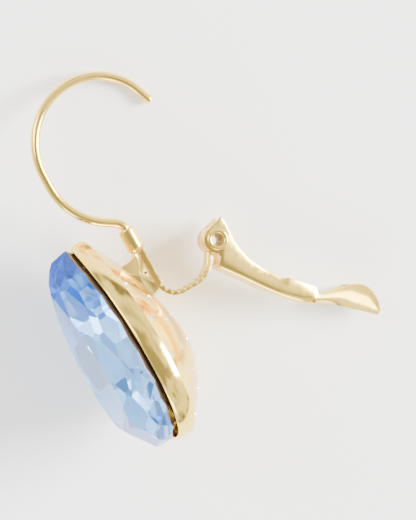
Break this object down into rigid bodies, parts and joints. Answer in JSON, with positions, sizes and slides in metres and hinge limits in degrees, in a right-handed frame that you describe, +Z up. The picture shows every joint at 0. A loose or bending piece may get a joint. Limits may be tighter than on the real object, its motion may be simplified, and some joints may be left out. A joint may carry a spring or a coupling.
{
  "type": "teardrop earring",
  "caption": "Gold-toned lever-back earring with a large faceted pale blue teardrop crystal in a domed, pierced setting, lying with its clasp open.",
  "frame": {"origin": "on the resting surface, below the middle of the earring as it lies with its lever open", "axes": "+Z up from the surface it lies on; the ear wire's loop points mostly along +Y and slightly to -X, the stone lies towards -Y and faces mostly -X and -Y, and the open lever reaches along +X"},
  "size_m": [0.0308, 0.032, 0.0142],
  "materials": {
    "gilt": "polished",
    "crystal": "faceted and polished"
  },
  "bodies": {
    "earring": {"setting": "gilt", "ear_hook": "gilt", "stone": "crystal", "hinge_rivet": "gilt"},
    "lever": {"lever": "gilt"}
  },
  "joints": [
    {"name": "lever_hinge", "type": "hinge", "parent": "earring", "child": "lever", "pos_m": [0.00062, 0.00123, 0.00289], "axis": [0.1911, 0.2742, 0.9425], "range_deg": [0, 136]}
  ]
}
